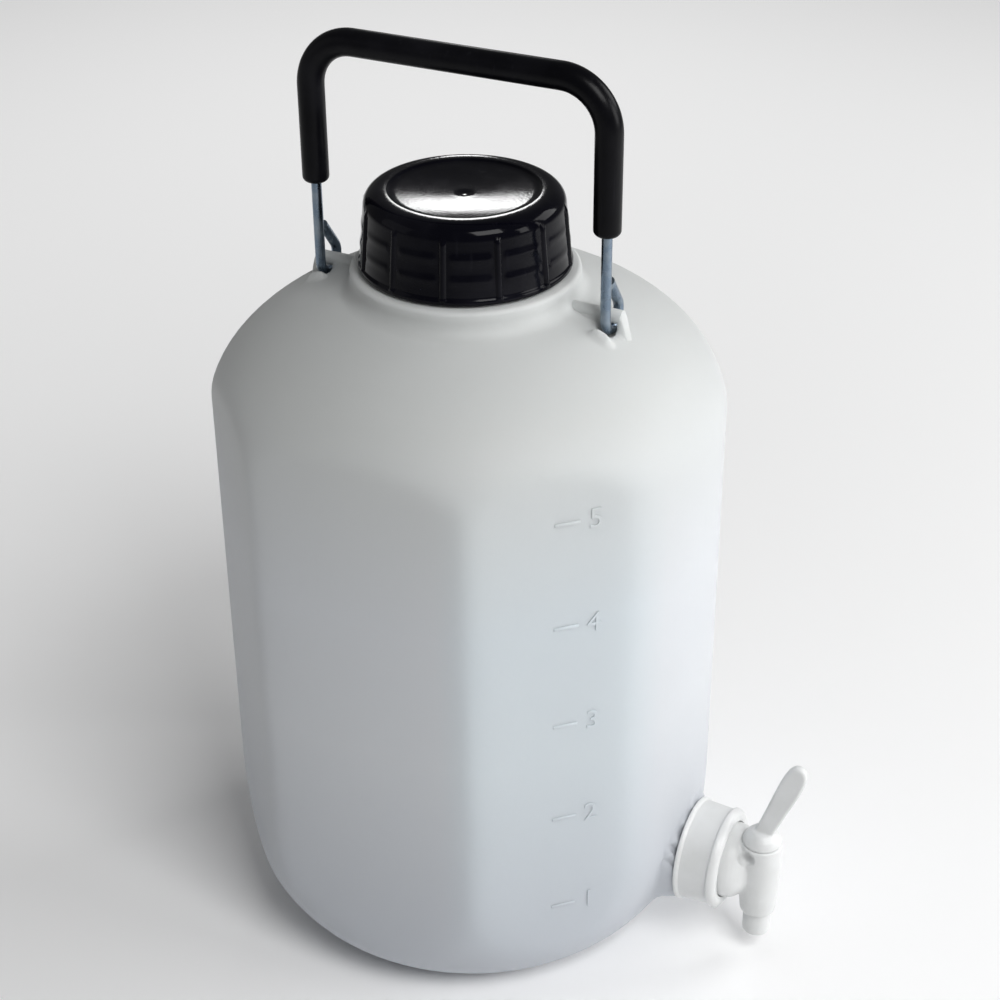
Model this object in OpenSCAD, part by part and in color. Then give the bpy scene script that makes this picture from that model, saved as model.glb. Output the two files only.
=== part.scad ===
// Five litre carboy with a screw cap, a swinging wire handle and a spigot.
// The origin is the centre of the base. +Z is up and +X runs out along the spigot.

/* [Body] */
// Radius of the round body
body_r = 92; // [88:1:96]
// Thickness of the moulded wall
wall = 2; // [1.6:0.1:2.4]
// Outer radius of the ring that the bottle stands on
foot_r = 55; // [50:1:60]
// Height where the rounded base has reached the full radius
base_h = 58; // [52:1:64]
// Height where the shoulder starts
shoulder_z = 215; // [200:1:225]
// Rise of the full shoulder dome
shoulder_h = 46; // [42:1:50]
// Rise of the dished floor inside the foot ring
push_up = 5; // [3:0.5:8]

/* [Flat panels] */
// Half angle of the four narrow flats
flat_half_angle = 18; // [14:1:20]
// Half angle of the two wide panels, front and back
panel_half_angle = 26; // [22:1:26]
// Radius of the slight bulge of the wide panels
panel_bulge_r = 250; // [180:10:400]
// Height of the first graduation mark
mark_z = 47.5; // [44:0.5:52]
// Distance between marks one litre apart
mark_step = 40.8; // [38:0.2:41]
// Length of a graduation mark
mark_len = 9; // [5:1:14]

/* [Neck and cap] */
// Outer radius of the neck
neck_r = 31.5; // [30:0.5:32]
// Height of the neck's collar above the shoulder dome
collar_h = 8; // [6:0.5:10]
// Radius of the collar
collar_r = 40; // [39:0.5:42]
// Height of the neck above its collar
neck_h = 22; // [20:0.5:25]
// Radius of the cap near its top
cap_r = 34.6; // [34.2:0.2:36]
// How far the cap widens to its rim
cap_flare = 2.4; // [2:0.2:3]
// Number of ribs round the cap
cap_ribs = 12; // [8:1:18]
// Thickness of the cap's liner
liner_t = 1.5; // [1:0.1:2]

/* [Handle] */
// Half the distance between the handle's two legs
leg_x = 55; // [53:0.5:57]
// Radius of the steel wire
wire_r = 1.8; // [1.6:0.1:2]
// Radius of the eye at the foot of each leg, to the wire's centre
eye_r = 5.5; // [5.25:0.25:6]
// Height of the grip's centre above the hinge
handle_h = 82; // [78:1:90]
// Radius of the two bends, to the wire's centre
bend_r = 17; // [12:1:22]
// Radius of the grip's sleeve
sleeve_r = 4.7; // [4:0.1:5]
// Length of the sleeve down each leg, below the bend
sleeve_leg = 32.5; // [20:0.5:38]

/* [Spigot] */
// Height of the spout's axis
spout_z = 40.5; // [38:0.5:46]
// Outer radius of the spout's neck
spout_r = 16.4; // [16:0.2:17]
// Thickness of the spout's neck
spout_wall = 2.5; // [2:0.1:3]
// Length of the spout's neck
spout_len = 10.5; // [9:0.5:12]
// Outer radius of the union nut
nut_r = 19.5; // [19.3:0.1:21]
// Radius of the tap's barrel
barrel_r = 7.5; // [7.3:0.1:8.5]
// Distance from the nut's face to the barrel's axis
barrel_reach = 11.5; // [10.5:0.5:14]
// Radius of the tap key's plug
plug_r = 5.2; // [5:0.1:5.4]
// Radius of the way through the key
way_r = 3.6; // [3:0.1:3.8]
// Length of the key's lever
lever_len = 38; // [30:1:42]
// Lean of the lever away from the bottle
lever_lean = 16; // [10:1:20]

/* [Hidden] */

$fn = 96;
natural = [0.88, 0.92, 0.94, 0.75];

// Rounded base and shoulder, both superellipse quarters
base_power = 2.16;
shoulder_power = 1.8;
shoulder_in_r = 20;
base_steps = 12;
shoulder_steps = 14;
foot_ring_w = 9;
foot_in_r = foot_r - foot_ring_w;
collar_chamfer = 1;
collar_fillet = 3;

function dome(r, rise, big_r) =
    rise * pow(1 - pow((r - shoulder_in_r) / (big_r - shoulder_in_r), shoulder_power), 1 / shoulder_power);
function shoulder_at(r) = shoulder_z + dome(r, shoulder_h, body_r);

collar_z = shoulder_at(collar_r) + collar_h;
neck_top = collar_z + neck_h;
neck_wall = 2.5;

// Flat panels
flat_angles = [-135, -45, 45, 135];
panel_angles = [-90, 90];
flat_d = body_r * cos(flat_half_angle);
panel_d = body_r * cos(panel_half_angle) + panel_bulge_r
    - sqrt(pow(panel_bulge_r, 2) - pow(body_r * sin(panel_half_angle), 2));
marks = 5;
mark_angle = -45;
mark_offset = 5.5;
mark_w = 1.2;
mark_proud = 0.35;

// Cap
cap_gap = 1;
liner_gap = 0.2;
rim_z = collar_z + cap_gap;
liner_z = neck_top + liner_gap;
cap_under_z = liner_z + liner_t + liner_gap;
cap_top_t = 4;
cap_top_z = cap_under_z + cap_top_t;
cap_wall = 2;
cap_round_w = 2.8;
cap_round_h = 5.5;
rim_h = 2.2;
rim_step = 0.6;
skirt_r = cap_r + cap_flare;
dish_r = 26;
dish_depth = 1.6;
dimple_r = 2.6;
dimple_depth = 0.6;
cap_rib_w = 1.6;
cap_rib_proud = 0.7;
cap_rib_top = 4.8;
rib_lean = atan((cap_flare - rim_step) / (cap_top_z - cap_round_h - rim_z - rim_h));

// Handle hinge: each eye hangs round a moulded bar, partly sunk in a pocket in the shoulder
bar_clear = 0.4;
bar_drop = 0.8;
bar_r = eye_r - wire_r - bar_drop - bar_clear;
eye_sink = 2.1;
hinge_z = shoulder_at(leg_x) + eye_r + wire_r - eye_sink;
bar_z = hinge_z - bar_drop;
grip_z = hinge_z + handle_h;
pocket_clear = 1.4;
pocket_r = eye_r + wire_r + pocket_clear;
lug_side = 1;
lug_foot = 2.8;
lug_gap_in = leg_x - wire_r - lug_side;
lug_gap_out = leg_x + wire_r + lug_side;
sleeve_fit = 0.05;
sleeve_end = 1.2;
tail_lean = atan(3 / 4);
tail_gap = 0.2;

// Spigot, measured along +X from the spout's shoulder
spout_x = body_r + 1;
spout_face_x = spout_x + spout_len;
boss_r = 19.8;
boss_len = 17;
boss_flare = 10;
boss_steps = 6;
gasket_t = 1.5;
flange_t = 2;
lip_t = 2.6;
flange_x = spout_face_x + gasket_t;
lip_x = flange_x + flange_t;
nut_face_x = lip_x + lip_t;
nut_back_x = spout_x + 0.4;
nut_clear = 0.4;
nut_bead = 0.5;
nut_taper = 0.9;
nut_round = 3.6;
lip_clear = 0.4;
cone_r = 14.4;
cone_mid_r = 12;
cone_tip_r = 8;
barrel_x = nut_face_x + barrel_reach;
barrel_up = 13;
barrel_down = 23.5;
barrel_top = spout_z + barrel_up;
barrel_bottom = spout_z - barrel_down;
barrel_taper = 1.1;
barrel_taper_h = 16;
barrel_dome = 1;
barrel_dome_h = 3.5;
plug_fit = 0.05;
plug_seat = 0.3;
nozzle_len = 6.7;
head_r = 6.4;
head_tip_r = 4.2;
head_h = 4.2;
snap_r = plug_r + 0.5;
snap_h = 1.4;
lever_w = 6.6;
lever_tip_w = 7.6;
lever_t = 3.6;
lever_root = 2;
recess_r = 2.3;
recess_depth = 1.2;
recess_angle = -112;
recess_up = 9.5;
recess_z = spout_z + recess_up;

// Half section of the body, shrunk by a wall thickness, with its neck
function body_outline(inset, top_r, top_z) =
    let (big_r = body_r - inset,
         ratio = (collar_r + collar_fillet - shoulder_in_r) / (big_r - shoulder_in_r),
         last = acos(pow(ratio, shoulder_power / 2)))
    concat(
        [[0, push_up + inset], [foot_in_r * 0.55, push_up + inset], [foot_in_r, inset]],
        [for (k = [0:base_steps])
            let (a = 90 - 90 * k / base_steps)
            [foot_r + (big_r - foot_r) * pow(cos(a), 2 / base_power),
             base_h - (base_h - inset) * pow(sin(a), 2 / base_power)]],
        [for (k = [0:shoulder_steps])
            let (a = last * k / shoulder_steps)
            [shoulder_in_r + (big_r - shoulder_in_r) * pow(cos(a), 2 / shoulder_power),
             shoulder_z + (shoulder_h - inset) * pow(sin(a), 2 / shoulder_power)]],
        [[collar_r - inset, shoulder_at(collar_r) - inset + collar_fillet],
         [collar_r - inset, collar_z - inset - collar_chamfer],
         [collar_r - inset - collar_chamfer, collar_z - inset],
         [top_r, collar_z - inset],
         [top_r, top_z],
         [0, top_z]]);

// Revolved body with its flats and wide panels, shrunk by a wall thickness
module body_form(inset, top_r, top_z) {
    big = 2 * body_r;
    difference() {
        rotate_extrude() polygon(body_outline(inset, top_r, top_z));
        for (a = flat_angles)
            rotate([0, 0, a]) translate([flat_d - inset, -body_r, -big / 4]) cube([body_r, big, 2 * big]);
        for (a = panel_angles)
            rotate([0, 0, a]) panel_cut(inset, big);
    }
}

// Space outside one slightly bulged panel
module panel_cut(inset, size) {
    translate([0, 0, -size / 4])
        difference() {
            translate([0, -body_r * sin(panel_half_angle) * 1.2, 0])
                translate([body_r * 0.7, 0, 0]) cube([body_r, body_r * sin(panel_half_angle) * 2.4, 2 * size]);
            translate([panel_d - inset - panel_bulge_r, 0, -1])
                cylinder(r = panel_bulge_r, h = 2 * size + 2, $fn = 360);
        }
}

// Half section of the spout along its own axis
function spout_outline(inset, neck_out_r, face_x) =
    concat(
        [[0, spout_x - boss_len]],
        [for (k = [0:boss_steps])
            let (t = 1 - k / boss_steps)
            [boss_r - inset + boss_flare * t * t, spout_x - inset - boss_len * t]],
        [[neck_out_r, spout_x - inset], [neck_out_r, face_x], [0, face_x]]);

module along_spout() {
    translate([0, 0, spout_z]) rotate([0, 90, 0]) rotate_extrude() children();
}

// Pockets in the shoulder under the eyes, grown by a wall thickness to keep the wall whole
module eye_pockets(grow) {
    for (side = [0, 180]) rotate([0, 0, side])
        translate([lug_gap_in - grow, 0, hinge_z]) rotate([0, 90, 0])
            cylinder(r = pocket_r + grow, h = lug_gap_out - lug_gap_in + 2 * grow);
}

// Lug on the shoulder: a ridge out from the collar, a round bar and a short foot
module handle_lug() {
    root_x = collar_r - wall;
    end_x = lug_gap_out + lug_foot;
    ridge_z = shoulder_at(lug_gap_in) - wall;
    foot_z = shoulder_at(end_x) - wall;
    translate([root_x, 0, bar_z]) rotate([0, 90, 0]) cylinder(r = bar_r, h = end_x - root_x);
    translate([root_x, -bar_r, ridge_z]) cube([lug_gap_in - root_x, 2 * bar_r, bar_z - ridge_z]);
    translate([lug_gap_out, -bar_r, foot_z]) cube([lug_foot, 2 * bar_r, bar_z - foot_z]);
}

// Raised lines, one for each litre
module graduation_marks() {
    for (k = [0:marks - 1])
        rotate([0, 0, mark_angle])
            translate([flat_d - wall / 2, mark_offset - mark_len / 2, mark_z + k * mark_step - mark_w / 2])
                cube([wall / 2 + mark_proud, mark_len, mark_w]);
}

module bottle() {
    color(natural) difference() {
        union() {
            difference() {
                body_form(0, neck_r, neck_top);
                eye_pockets(0);
            }
            along_spout() polygon(spout_outline(0, spout_r, spout_face_x));
            for (side = [0, 180]) rotate([0, 0, side]) handle_lug();
            graduation_marks();
        }
        difference() {
            body_form(wall, neck_r - neck_wall, neck_top + 1);
            eye_pockets(wall);
        }
        along_spout() polygon(spout_outline(wall, spout_r - spout_wall, spout_face_x + 1));
    }
}

// Half section of the cap, open below
function cap_outline() =
    let (in_r = cap_r - cap_wall)
    concat(
        [[0, cap_under_z], [in_r, cap_under_z], [in_r, rim_z],
         [skirt_r, rim_z], [skirt_r, rim_z + rim_h * 0.6], [skirt_r - rim_step, rim_z + rim_h]],
        [for (a = [0:15:90])
            [cap_r - cap_round_w * (1 - cos(a)), cap_top_z - cap_round_h * (1 - sin(a))]],
        [[dish_r + 0.8, cap_top_z], [dish_r, cap_top_z - dish_depth],
         [dimple_r + 0.6, cap_top_z - dish_depth], [dimple_r, cap_top_z - dish_depth - dimple_depth],
         [0, cap_top_z - dish_depth - dimple_depth]]);

// One rib with a round top, leaning in with the cap's taper
module cap_rib() {
    len = cap_top_z - cap_rib_top - rim_z - rim_h;
    translate([skirt_r - rim_step, 0, rim_z + rim_h]) rotate([0, -rib_lean, 0])
        translate([-cap_wall / 2, 0, 0]) {
            translate([0, -cap_rib_w / 2, 0]) cube([cap_wall / 2 + cap_rib_proud, cap_rib_w, len]);
            translate([0, 0, len]) rotate([0, 90, 0])
                cylinder(r = cap_rib_w / 2, h = cap_wall / 2 + cap_rib_proud, $fn = 24);
        }
}

module cap() {
    color([0.05, 0.05, 0.06]) {
        rotate_extrude() polygon(cap_outline());
        for (k = [0:cap_ribs - 1]) rotate([0, 0, 360 * (k + 0.5) / cap_ribs]) cap_rib();
    }
}

module cap_liner() {
    color([0.9, 0.9, 0.88]) translate([0, 0, liner_z]) cylinder(r = cap_r - cap_wall - 0.4, h = liner_t);
}

// Part of a ring of round bar, from one angle to another, less than 180 degrees apart
module ring_part(ring_r, r, from, to) {
    reach = 2 * (ring_r + r);
    intersection() {
        rotate_extrude($fn = 48) translate([ring_r, 0]) circle(r = r);
        translate([0, 0, -r - 1]) linear_extrude(2 * r + 2)
            polygon([[0, 0], reach * [cos(from), sin(from)],
                     reach * [cos((from + to) / 2), sin((from + to) / 2)], reach * [cos(to), sin(to)]]);
    }
}

// Handle path: two legs, two bends and the grip, filled with a round section
module bail_path(r, leg_low) {
    for (side = [0, 180]) rotate([0, 0, side]) {
        translate([leg_x, 0, leg_low]) cylinder(r = r, h = grip_z - bend_r - leg_low, $fn = 48);
        translate([leg_x - bend_r, 0, grip_z - bend_r]) rotate([90, 0, 0]) ring_part(bend_r, r, 0, 90);
    }
    translate([bend_r - leg_x, 0, grip_z]) rotate([0, 90, 0]) cylinder(r = r, h = 2 * (leg_x - bend_r), $fn = 48);
}

// Eye in the YZ plane: a ring under and round the bar, and a tail back to the leg
module leg_eye() {
    tail_len = (eye_r * (1 + cos(tail_lean)) - wire_r * (1 + cos(tail_lean)) - tail_gap) / sin(tail_lean);
    tail_angle = -180 - tail_lean;
    translate([0, 0, hinge_z]) rotate([90, 0, -90]) {
        ring_part(eye_r, wire_r, -90, 0);
        ring_part(eye_r, wire_r, tail_angle, -90);
        rotate([0, 0, tail_angle]) translate([eye_r, 0, 0]) rotate([90, 0, 0])
            cylinder(r = wire_r, h = tail_len, $fn = 48);
    }
}

module bail_wire() {
    color([0.72, 0.73, 0.74]) {
        translate([0, -eye_r, 0]) bail_path(wire_r, hinge_z);
        translate([-leg_x, 0, 0]) leg_eye();
        translate([leg_x, 0, 0]) leg_eye();
    }
}

module grip_sleeve() {
    low = grip_z - bend_r - sleeve_leg;
    color([0.04, 0.04, 0.045]) translate([0, -eye_r, 0]) difference() {
        union() {
            bail_path(sleeve_r, low);
            for (side = [-1, 1]) translate([side * leg_x, 0, low - sleeve_end])
                cylinder(r1 = sleeve_r - sleeve_end, r2 = sleeve_r, h = sleeve_end, $fn = 48);
        }
        bail_path(wire_r + sleeve_fit, low - sleeve_end - 1);
    }
}

module spigot_gasket() {
    color([0.85, 0.85, 0.82]) translate([spout_face_x, 0, spout_z]) rotate([0, 90, 0]) difference() {
        cylinder(r = spout_r - 0.2, h = gasket_t);
        translate([0, 0, -1]) cylinder(r = spout_r - spout_wall, h = gasket_t + 2);
    }
}

// Half section of the union nut along the spout's axis
function nut_outline() =
    let (front_r = nut_r - nut_taper, in_r = spout_r + nut_clear, round_x = nut_face_x - nut_round)
    concat(
        [[in_r, nut_back_x], [nut_r + nut_bead, nut_back_x], [nut_r + nut_bead, nut_back_x + 1.2],
         [nut_r, nut_back_x + 1.7], [front_r, round_x - 0.8], [front_r + 0.4, round_x]],
        [for (a = [15:15:75])
            [front_r + 0.4 - 1.6 * (1 - cos(a)), round_x + nut_round * sin(a)]],
        [[cone_r + lip_clear + 0.8, nut_face_x], [cone_r + lip_clear, nut_face_x - 0.8],
         [cone_r + lip_clear, lip_x], [in_r, lip_x]]);

module spigot_nut() {
    color([0.95, 0.95, 0.94]) along_spout() polygon(nut_outline());
}

// Tap body along the spout's axis: flange, cone and its hollow
module tap_inlet(solid) {
    along_spout()
        if (solid)
            polygon([[0, flange_x], [spout_r - 0.2, flange_x], [spout_r - 0.2, lip_x], [cone_r, lip_x],
                     [cone_r, nut_face_x], [cone_mid_r, (nut_face_x + barrel_x) / 2 - 0.5],
                     [cone_tip_r, barrel_x - barrel_r * 0.3], [0, barrel_x - barrel_r * 0.3]]);
        else
            polygon([[0, flange_x - 1], [cone_r - 3, flange_x - 1], [cone_r - 3, lip_x],
                     [way_r, nut_face_x + 2], [way_r, barrel_x], [0, barrel_x]]);
}

// Half section of the barrel
function barrel_outline() = [
    [0, barrel_bottom], [barrel_r - barrel_taper, barrel_bottom], [barrel_r, barrel_bottom + barrel_taper_h],
    [barrel_r, barrel_top - barrel_dome_h], [barrel_r - barrel_dome * 0.3, barrel_top - barrel_dome_h / 2],
    [barrel_r - barrel_dome, barrel_top], [0, barrel_top]];

module tap_body() {
    color([0.95, 0.95, 0.94]) difference() {
        union() {
            tap_inlet(true);
            translate([barrel_x, 0, 0]) rotate_extrude() polygon(barrel_outline());
        }
        tap_inlet(false);
        translate([barrel_x, 0, barrel_bottom - 1])
            cylinder(r = plug_r + plug_fit, h = barrel_top - barrel_bottom + 2);
        translate([barrel_x, 0, recess_z]) rotate([0, 0, recess_angle])
            translate([barrel_r - recess_depth, 0, 0]) rotate([0, 90, 0]) cylinder(r = recess_r, h = barrel_r);
    }
}

// Upright blade with a round end, leaning away from the bottle
module lever() {
    translate([0, 0, barrel_top + head_h - 1]) rotate([0, lever_lean, 0])
        translate([0, lever_t / 2, 0]) rotate([90, 0, 0]) linear_extrude(lever_t)
            union() {
                polygon([[-lever_w / 2, -lever_root], [lever_w / 2, -lever_root],
                         [lever_tip_w / 2, lever_len - lever_tip_w / 2],
                         [-lever_tip_w / 2, lever_len - lever_tip_w / 2]]);
                translate([0, lever_len - lever_tip_w / 2]) circle(r = lever_tip_w / 2);
            }
}

// Plug, head and lever, moulded in one, with the way down the middle
module tap_key() {
    low = barrel_bottom - nozzle_len;
    seat = barrel_top + plug_seat;
    color([0.96, 0.96, 0.95]) translate([barrel_x, 0, 0]) difference() {
        union() {
            rotate_extrude() polygon([
                [0, low], [plug_r - 1, low], [plug_r, low + 1],
                [plug_r, barrel_bottom - plug_seat - snap_h], [snap_r, barrel_bottom - plug_seat - snap_h * 0.6],
                [snap_r, barrel_bottom - plug_seat], [plug_r, barrel_bottom - plug_seat],
                [plug_r, seat], [head_r, seat], [head_r * 0.97, seat + head_h * 0.35],
                [(head_r + head_tip_r) / 2, seat + head_h * 0.8], [head_tip_r, seat + head_h], [0, seat + head_h]]);
            lever();
        }
        translate([0, 0, low - 1]) cylinder(r = way_r, h = spout_z + way_r - low + 1);
        translate([0, 0, spout_z]) rotate([-90, 0, 0]) cylinder(r = way_r, h = plug_r + 1);
    }
}

bottle();
cap();
cap_liner();
bail_wire();
grip_sleeve();
spigot_gasket();
spigot_nut();
tap_body();
tap_key();
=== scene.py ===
"""Looks of a five litre carboy with a screw cap, a wire bail handle and a lever tap.

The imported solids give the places. The sizes below are the part's own, except where the
finished surface stands a little off the solid. The bottle, the cap, the handle and the tap
are modelled here. The cap's liner and the spigot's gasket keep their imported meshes.
"""
import math

import bpy
import numpy as np
from mathutils import Matrix, Vector


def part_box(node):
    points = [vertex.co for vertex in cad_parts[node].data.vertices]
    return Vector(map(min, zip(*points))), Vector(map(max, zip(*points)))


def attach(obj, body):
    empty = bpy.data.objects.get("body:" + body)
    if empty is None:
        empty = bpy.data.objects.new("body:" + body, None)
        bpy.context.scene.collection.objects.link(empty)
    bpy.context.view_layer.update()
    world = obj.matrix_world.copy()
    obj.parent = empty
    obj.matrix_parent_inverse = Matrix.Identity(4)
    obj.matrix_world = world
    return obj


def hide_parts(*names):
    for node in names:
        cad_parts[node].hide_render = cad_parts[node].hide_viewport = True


MM = 0.001
TURN = 2 * math.pi

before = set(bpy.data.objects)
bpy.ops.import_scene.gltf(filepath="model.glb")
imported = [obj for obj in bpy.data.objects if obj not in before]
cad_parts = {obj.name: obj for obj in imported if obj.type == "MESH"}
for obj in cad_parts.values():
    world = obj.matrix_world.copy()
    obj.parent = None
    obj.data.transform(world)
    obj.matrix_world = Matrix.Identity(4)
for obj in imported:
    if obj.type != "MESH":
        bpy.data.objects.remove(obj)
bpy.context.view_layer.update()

# ---------------------------------------------------------------- sizes, in metres

BODY_R = 92 * MM
WALL = 2 * MM
FOOT_R = 55 * MM
FOOT_IN_R = 46 * MM
PUSH_UP = 5 * MM
BASE_H = 58 * MM
BASE_POWER = 2.16
SHOULDER_Z = 215 * MM
SHOULDER_H = 46 * MM
SHOULDER_IN_R = 20 * MM
SHOULDER_POWER = 1.8
COLLAR_R = 40 * MM
COLLAR_H = 8 * MM
COLLAR_FILLET = 6 * MM
COLLAR_EDGE = 1.5 * MM
NECK_R = 31.5 * MM

FLAT_HALF = math.radians(18)
FLAT_ANGLES = [math.radians(a) for a in (-135, -45, 45, 135)]
PANEL_HALF = math.radians(26)
PANEL_ANGLES = [math.radians(a) for a in (-90, 90)]
PANEL_BULGE_R = 250 * MM
PRESS_SOFT = 0.9 * MM
MARK_ANGLE = math.radians(-45)
MARK_Z = 47.5 * MM
MARK_STEP = 40.8 * MM
MARK_COUNT = 5
MARK_OFFSET = 5.5 * MM
MARK_LEN = 9 * MM
MARK_W = 1.3 * MM
MARK_PROUD = 0.28 * MM
MARK_BEVEL = 0.3 * MM
DIGIT_OFFSET = 15.5 * MM
DIGIT_SIZE = 10.8 * MM

SPOUT_Z = 40.5 * MM
BOSS_R = 19.8 * MM
BOSS_LEN = 17 * MM
BOSS_FLARE = 10 * MM
SPOUT_R = 16.4 * MM
SPOUT_IN_R = 13.9 * MM

LEG_X = 55 * MM
WIRE_R = 1.8 * MM
EYE_R = 5.5 * MM
BEND_R = 17 * MM
SLEEVE_R = 4.7 * MM
SLEEVE_LEG = 32.5 * MM
SLEEVE_ROUND = 2.2 * MM
SLEEVE_END_SHARE = 0.5
TAIL_SLOPE = math.atan(3 / 4)
TAIL_LEN = 12.2 * MM
BAR_DROP = 0.8 * MM
BAR_R = 2.5 * MM
POCKET_R = 8.1 * MM
LUG_GAP = WIRE_R + 1 * MM
LUG_FOOT = 4.5 * MM
LUG_FILLET = 2.4 * MM
LUG_STEP = 0.09 * MM
POCKET_SOFT = 0.45 * MM
LUG_LOW_Z = SHOULDER_Z + 15 * MM
LUG_START, LUG_END = 46 * MM, 64 * MM
LIP_H, LIP_HALF_X, LIP_HALF_Y = 2.9 * MM, 3.9 * MM, 1.6 * MM
LIP_OUT, LIP_AHEAD = 0.4 * MM, 9.1 * MM
WELT_H, WELT_HALF = 0.9 * MM, 5.2 * MM
WELT_START, WELT_END = 41 * MM, 62 * MM

CAP_R = 34.6 * MM
CAP_SKIRT_R = 37 * MM
CAP_IN_R = 32.6 * MM
CAP_RIM_H = 2.2 * MM
CAP_ROUND_W = 5.6 * MM
CAP_ROUND_H = 5.5 * MM
CAP_TOP_T = 4 * MM
CAP_RIBS = 12
CAP_RIB_PROUD = 0.75 * MM
CAP_RIB_HALF = 0.75 * MM
CAP_RING_PROUD = 0.26 * MM
CAP_RING_HALF = 1.5 * MM
DISH_R = 26 * MM
DISH_DEPTH = 2.1 * MM
DISH_BOWL = 1.5 * MM

NUT_R = 19.5 * MM
NUT_LIP_T = 2.6 * MM
STOP_ANGLE = math.radians(-122)
STOP_R = 1.9 * MM
CONE_R = 14.4 * MM
# Millimetres in from the cone's radius and out from the nut's face.
CONE_SHAPE = [(0, 0), (0.1, 1.5), (0.5, 3), (1.3, 4.5), (2.4, 5.8), (3.9, 7.2), (6, 8.6)]
BARREL_R = 7.9 * MM
PLUG_R = 5.2 * MM
WAY_R = 3.6 * MM
LEVER_LEAN = math.radians(20)
LEVER_LEN = 38 * MM
LEVER_T = 3.6 * MM
LEVER_EDGE = 1.1 * MM
LEVER_TIP_R = 3.4 * MM
# Half width and place along the lever, in millimetres.
LEVER_SIDE = [(3.4, -2), (3.5, 6), (3.8, 14), (4.15, 22), (4.3, 27), (4.2, 31), (3.8, 34)]
# Radius and height above the seat, in millimetres.
HEAD_DOME = [(7.4, 0), (7.4, 0.6), (7, 1.9), (6.3, 3.2), (5.2, 4.4), (4.1, 5.3), (0, 6)]
SEAT_GAP = 0.15 * MM
RECESS_ANGLE = math.radians(-112)
RECESS_R, RECESS_OUT, RECESS_UP = 3.1 * MM, 0.7 * MM, 8.8 * MM
TAP_VOXEL, TAP_PASSES = 0.42 * MM, 9
KEY_VOXEL, KEY_PASSES = 0.36 * MM, 5

THREAD_PITCH = 6 * MM


def shoulder_height(r):
    """Height of the shoulder's surface at radius r, away from the flats."""
    share = (r - SHOULDER_IN_R) / (BODY_R - SHOULDER_IN_R)
    return SHOULDER_Z + SHOULDER_H * (1 - share ** SHOULDER_POWER) ** (1 / SHOULDER_POWER)


NECK_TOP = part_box("bottle")[1][2]
COLLAR_Z = shoulder_height(COLLAR_R) + COLLAR_H
HINGE_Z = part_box("bail_wire")[0][2] + WIRE_R + EYE_R
BAR_Z = HINGE_Z - BAR_DROP
GRIP_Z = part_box("grip_sleeve")[1][2] - SLEEVE_R
CAP_LOW, CAP_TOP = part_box("cap")[0][2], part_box("cap")[1][2]
NUT_BACK_X, NUT_FACE_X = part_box("spigot_nut")[0][0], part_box("spigot_nut")[1][0]
FLANGE_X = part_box("tap_body")[0][0]
BARREL_LOW, BARREL_TOP = SPOUT_Z - 23.5 * MM, SPOUT_Z + 13 * MM
BARREL_X = NUT_FACE_X + 11.5 * MM
NOZZLE_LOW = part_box("tap_key")[0][2]


# ---------------------------------------------------------------- modelling helpers

def deselect():
    bpy.ops.object.select_all(action="DESELECT")


def pick(obj):
    """Leaves this one object selected and active."""
    deselect()
    obj.select_set(True)
    bpy.context.view_layer.objects.active = obj


def new_name(obj, name):
    obj.name = name
    obj.data.name = name
    return obj


def weld(distance):
    """Merges the active mesh's doubled points and turns its faces outward."""
    bpy.ops.object.mode_set(mode="EDIT")
    bpy.ops.mesh.select_all(action="SELECT")
    bpy.ops.mesh.remove_doubles(threshold=distance)
    bpy.ops.mesh.normals_make_consistent(inside=False)
    bpy.ops.object.mode_set(mode="OBJECT")


def draw_line(name, points):
    """One vertex extruded from point to point."""
    deselect()
    points = [Vector(p) for p in points]
    bpy.ops.mesh.primitive_plane_add(size=0.001, location=points[0])
    obj = new_name(bpy.context.object, name)
    bpy.ops.object.mode_set(mode="EDIT")
    bpy.ops.mesh.merge(type="CENTER")
    for start, end in zip(points, points[1:]):
        bpy.ops.mesh.extrude_region_move(TRANSFORM_OT_translate={"value": end - start})
    bpy.ops.object.mode_set(mode="OBJECT")
    bpy.ops.object.transform_apply(location=True, rotation=True, scale=True)
    return obj


def turn_outline(name, outline, steps, centre=(0, 0, 0), axis="Z"):
    """Spins an outline of (radius, height) pairs round the named axis."""
    place = {"Z": lambda r, h: (r, 0, h), "X": lambda r, h: (h, 0, r)}[axis]
    centre = Vector(centre)
    obj = draw_line(name, [centre + Vector(place(r, h)) for r, h in outline])
    bpy.ops.object.mode_set(mode="EDIT")
    bpy.ops.mesh.select_all(action="SELECT")
    direction = {"Z": (0, 0, 1), "X": (1, 0, 0)}[axis]
    bpy.ops.mesh.spin(steps=steps, angle=TURN, center=centre, axis=direction)
    bpy.ops.mesh.select_all(action="SELECT")
    bpy.ops.mesh.remove_doubles(threshold=1e-6)
    bpy.ops.mesh.normals_make_consistent(inside=False)
    bpy.ops.object.mode_set(mode="OBJECT")
    return obj


def arc(centre, radius, start, end, steps):
    """Points of an arc in the outline's plane, angles in degrees."""
    angles = np.radians(np.linspace(start, end, steps + 1))
    return [(centre[0] + radius * math.cos(a), centre[1] + radius * math.sin(a)) for a in angles]


def stretch(start, end, steps):
    """Evenly spaced points from start, which is left out, to end."""
    run, rise = end[0] - start[0], end[1] - start[1]
    return [(start[0] + run * k / steps, start[1] + rise * k / steps) for k in range(1, steps + 1)]


def join(parts, name):
    deselect()
    for part in parts:
        part.select_set(True)
    bpy.context.view_layer.objects.active = parts[0]
    bpy.ops.object.join()
    return new_name(bpy.context.object, name)


def apply(obj, kind, **settings):
    """Adds one modifier and applies it."""
    pick(obj)
    modifier = obj.modifiers.new(kind.lower(), kind)
    for key, value in settings.items():
        setattr(modifier, key, value)
    bpy.ops.object.modifier_apply(modifier=modifier.name)


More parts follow.
